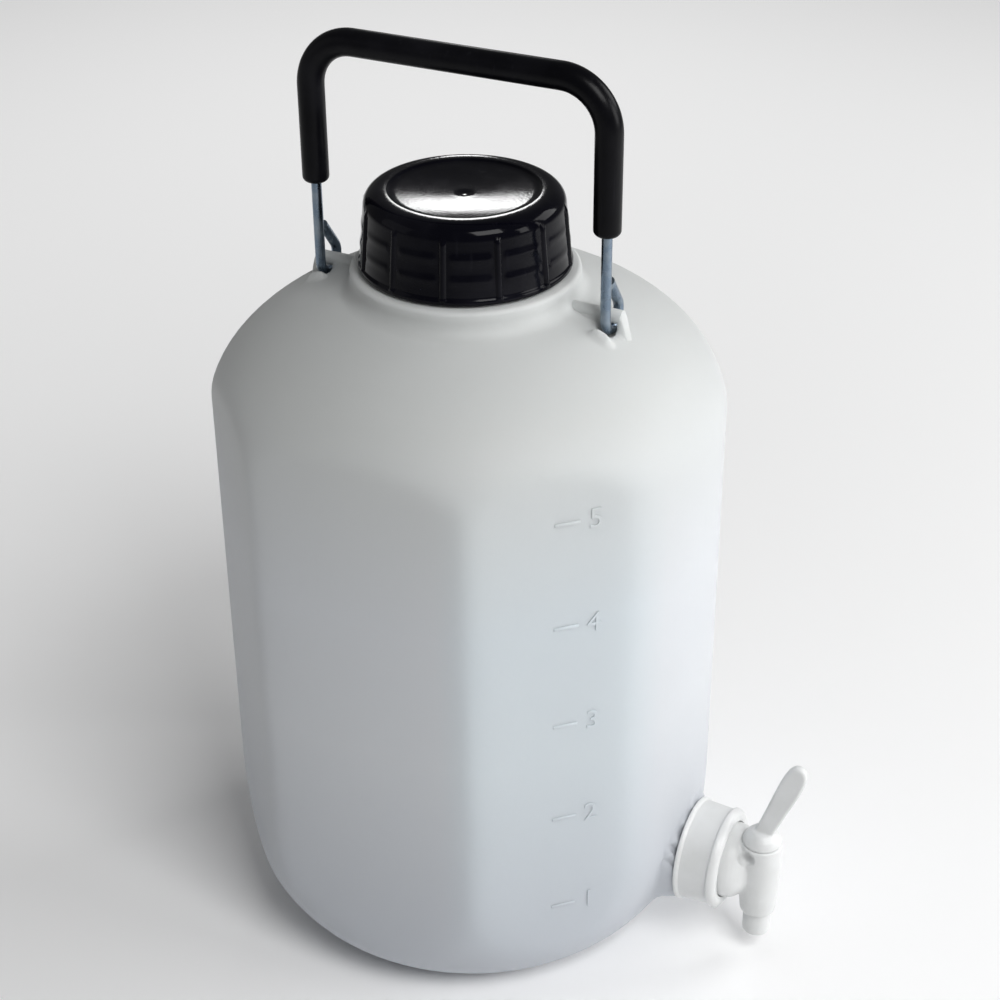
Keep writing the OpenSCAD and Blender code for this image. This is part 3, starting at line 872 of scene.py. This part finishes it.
def mix_colours(tree, share_out, low, high):
    """Colour between low and high. Either may be a colour or another node's output."""
    mix = tree.nodes.new("ShaderNodeMix")
    mix.data_type = "RGBA"
    tree.links.new(share_out, mix.inputs["Factor"])
    for socket, colour in ((mix.inputs[6], low), (mix.inputs[7], high)):
        if isinstance(colour, tuple):
            socket.default_value = (*colour, 1)
        else:
            tree.links.new(colour, socket)
    return mix.outputs[2]


def plastic(name, clean, worn, rough, rough_worn, grain, wear, ripple=0.0004, specular=0.5,
            sss=0.0, sss_scale=0.004, metallic=0.0):
    """Plastic or metal in two tones of colour and gloss, over fine grain and handling marks.

    Grain is (noise scale, depth). Wear is (smear scale, scratches, rubbed edges).
    """
    material = bpy.data.materials.new(name)
    material.use_nodes = True
    tree = material.node_tree
    shader = tree.nodes["Principled BSDF"]
    shader.inputs["Specular IOR Level"].default_value = specular
    shader.inputs["Metallic"].default_value = metallic
    shader.inputs["Subsurface Weight"].default_value = sss
    shader.inputs["Subsurface Radius"].default_value = (1, 1, 1)
    shader.inputs["Subsurface Scale"].default_value = sss_scale
    handled = add_group(tree, WEAR, Smear_Scale=wear[0], Scratches=wear[1], Edges=wear[2])
    mask = handled.outputs["Mask"]
    tree.links.new(mix_colours(tree, mask, clean, worn), shader.inputs["Base Color"])
    tree.links.new(map_values(tree, mask, rough, rough_worn), shader.inputs["Roughness"])
    surface = add_group(tree, GRAIN, Scale=grain[0], Depth=grain[1], Ripple=ripple)
    tree.links.new(surface.outputs["Normal"], shader.inputs["Normal"])
    return material


NATURAL_COLOUR, NATURAL_SMEAR = (0.60, 0.622, 0.652), (0.58, 0.603, 0.637)
SHOULDER_COLOUR, COOL_COLOUR = (0.555, 0.57, 0.565), (0.56, 0.61, 0.645)
# Painted shade: the bottle's colour darkens towards its bottom, standing in for shade under light
# from above.
LOW_SHADE_COLOUR = (0.455, 0.48, 0.525)
SHOULDER_FADE = SHOULDER_Z - 45 * MM, SHOULDER_Z + 25 * MM
LOW_SHADE_FADE = 5 * MM, 115 * MM


def natural_plastic(name, sss):
    """Milky polyethylene: cooler on the marked flat, greyer on the shoulder, and painted shade that
    darkens it towards the bottom.
    """
    material = plastic(name, NATURAL_COLOUR, NATURAL_SMEAR, rough=0.5, rough_worn=0.6,
                       grain=(260, 0.0003), wear=(9, 0.25, 0.2), ripple=0.0006, specular=0.35,
                       sss=sss, sss_scale=0.006)
    tree = material.node_tree
    shader = tree.nodes["Principled BSDF"]
    base = shader.inputs["Base Color"].links[0].from_socket
    place = tree.nodes.new("ShaderNodeTexCoord").outputs["Object"]
    along = tree.nodes.new("ShaderNodeVectorMath")
    along.operation = "DOT_PRODUCT"
    along.inputs[1].default_value = (math.cos(MARK_ANGLE), math.sin(MARK_ANGLE), 0)
    tree.links.new(place, along.inputs[0])
    flat_distance = BODY_R * math.cos(FLAT_HALF)
    flat = map_values(tree, along.outputs["Value"], 0, 1,
                      flat_distance - 7 * MM, flat_distance - 0.5 * MM)
    height = tree.nodes.new("ShaderNodeSeparateXYZ")
    tree.links.new(place, height.inputs["Vector"])
    upper = map_values(tree, height.outputs["Z"], 0, 1, *SHOULDER_FADE)
    # Painted shade: full at the bottom, fading out by 115 mm up.
    lower = map_values(tree, height.outputs["Z"], 1, 0, *LOW_SHADE_FADE)
    base = mix_colours(tree, flat, base, COOL_COLOUR)
    base = mix_colours(tree, upper, base, SHOULDER_COLOUR)
    base = mix_colours(tree, lower, base, LOW_SHADE_COLOUR)
    tree.links.new(base, shader.inputs["Base Color"])
    return material


def soft_white(name, colour):
    return plastic(name, colour, tuple(c * 0.9 for c in colour), rough=0.6, rough_worn=0.75,
                   grain=(1500, 0.0003), wear=(90, 0.3, 0.3))


NATURAL = natural_plastic("natural polyethylene", sss=0.6)
MARKED = natural_plastic("raised marks", sss=0.0)
BLACK = plastic("black moulded plastic", (0.002, 0.002, 0.004), (0.006, 0.006, 0.009),
                rough=0.09, rough_worn=0.14, grain=(900, 0.0001), wear=(60, 0.6, 0.4),
                ripple=0.0002, specular=0.09)
SLEEVE = plastic("black sleeve", (0.002, 0.002, 0.003), (0.006, 0.006, 0.008),
                 rough=0.28, rough_worn=0.4, grain=(700, 0.0002), wear=(45, 0.7, 0.3),
                 ripple=0.0003, specular=0.1)
WHITE = plastic("white moulded plastic", (0.71, 0.72, 0.72), (0.66, 0.67, 0.665),
                rough=0.3, rough_worn=0.45, grain=(500, 0.0002), wear=(70, 0.25, 0.3),
                ripple=0.0002, specular=0.45, sss=0.15, sss_scale=0.002)
WIRE = plastic("zinc plated wire", (0.16, 0.21, 0.27), (0.30, 0.35, 0.40),
               rough=0.26, rough_worn=0.42, grain=(600, 0.0002), wear=(160, 0.8, 0.3),
               ripple=0.0002, metallic=1.0)
LINER = soft_white("foamed liner", (0.8, 0.8, 0.77))
GASKET = soft_white("soft gasket", (0.7, 0.7, 0.66))


def paint(obj, material):
    obj.data.materials.clear()
    obj.data.materials.append(material)


# ---------------------------------------------------------------- build

bottle = make_bottle()
paint(bottle, NATURAL)
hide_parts("bottle")
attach(bottle, "bottle")

marks = make_marks()
paint(marks, MARKED)
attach(marks, "bottle")

neck_thread = make_thread("neck_thread", NECK_R, 0.8 * MM, COLLAR_Z + 6 * MM, 1.8)
paint(neck_thread, NATURAL)
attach(neck_thread, "bottle")

cap_thread = make_thread("cap_thread", CAP_IN_R, 0.7 * MM, CAP_LOW + 8 * MM, 1.5, outward=False)
paint(cap_thread, BLACK)
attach(cap_thread, "cap")

# Maker, material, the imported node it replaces, the body it rides on, and its slot.
OTHER_PIECES = ((make_cap, BLACK, "cap", "cap", "black_plastic"),
                (make_wire, WIRE, "bail_wire", "handle", "steel_wire"),
                (make_sleeve, SLEEVE, "grip_sleeve", "handle", "black_sleeve"),
                (make_nut, WHITE, "spigot_nut", "bottle", "white_plastic"),
                (make_tap, WHITE, "tap_body", "bottle", "white_plastic"),
                (make_key, WHITE, "tap_key", "key", "white_plastic"))
for make, material, node, body, slot in OTHER_PIECES:
    piece = make()
    paint(piece, material)
    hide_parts(node)
    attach(piece, body)

for node, material in (("cap_liner", LINER), ("spigot_gasket", GASKET)):
    paint(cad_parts[node], material)


# ---------------------------------------------------------------- light, floor and camera

BODY_MIDDLE = (0, 0, 0.15)
# Name, place, aim, size and power in watts. The last two light the floor and miss the carboy.
LIGHTS = (("key", (0.9, -0.6, 1.3), BODY_MIDDLE, (0.7, 0.7), 15.5),
          ("right", (1.4, 0.3, 0.6), BODY_MIDDLE, (0.7, 0.7), 9),
          ("left", (-1.2, -0.8, 0.7), BODY_MIDDLE, (1.0, 1.0), 1.0),
          ("back_right", (0.9, 1.0, 0.9), BODY_MIDDLE, (0.7, 0.7), 6.5),
          ("back", (-0.625, 1.2, 0.72), (0, 0, 0.29), (0.06, 0.16), 0.5),
          ("floor_behind", (-0.45, 0.75, 1.1), (-1.05, 1.75, 0.1), (0.6, 0.6), 6),
          ("floor_left", (-0.75, -0.1, 0.9), (-1.75, -0.3, 0), (0.6, 0.6), 3))


def make_floor():
    deselect()
    bpy.ops.mesh.primitive_plane_add(size=8, location=(0, 0, 0))
    floor = new_name(bpy.context.object, "floor")
    material = bpy.data.materials.new("white floor")
    material.use_nodes = True
    shader = material.node_tree.nodes["Principled BSDF"]
    shader.inputs["Base Color"].default_value = (0.95, 0.95, 0.95, 1)
    shader.inputs["Roughness"].default_value = 0.6
    paint(floor, material)


def add_light(name, place, aim, size, power):
    light = bpy.data.lights.new(name, "AREA")
    light.shape = "RECTANGLE"
    light.size, light.size_y = size
    light.energy = power
    obj = bpy.data.objects.new(name, light)
    bpy.context.collection.objects.link(obj)
    obj.location = place
    obj.rotation_euler = (Vector(aim) - Vector(place)).to_track_quat("-Z", "Y").to_euler()


def make_camera():
    """Camera 31 degrees above the bottle, on the side of the marked flat."""
    place = Vector((297.6, -571.7, 558.4)) * MM
    azimuth, elevation, roll = math.radians(26.51), math.radians(31.0), math.radians(0.454)
    camera = bpy.data.cameras.new("camera")
    camera.sensor_width = 36
    camera.lens = 73.55
    camera.clip_start = 0.05
    obj = bpy.data.objects.new("camera", camera)
    bpy.context.collection.objects.link(obj)
    obj.matrix_world = (Matrix.Translation(place) @ Matrix.Rotation(azimuth, 4, "Z")
                        @ Matrix.Rotation(math.pi / 2 - elevation, 4, "X")
                        @ Matrix.Rotation(-roll, 4, "Z"))
    bpy.context.scene.camera = obj


def make_world():
    world = bpy.data.worlds.new("studio")
    world.use_nodes = True
    world.node_tree.nodes["Background"].inputs["Color"].default_value = (1, 1, 1, 1)
    world.node_tree.nodes["Background"].inputs["Strength"].default_value = 0.15
    bpy.context.scene.world = world


make_floor()
make_world()
for light_row in LIGHTS:
    add_light(*light_row)
make_camera()
bpy.context.scene.view_settings.view_transform = "Standard"
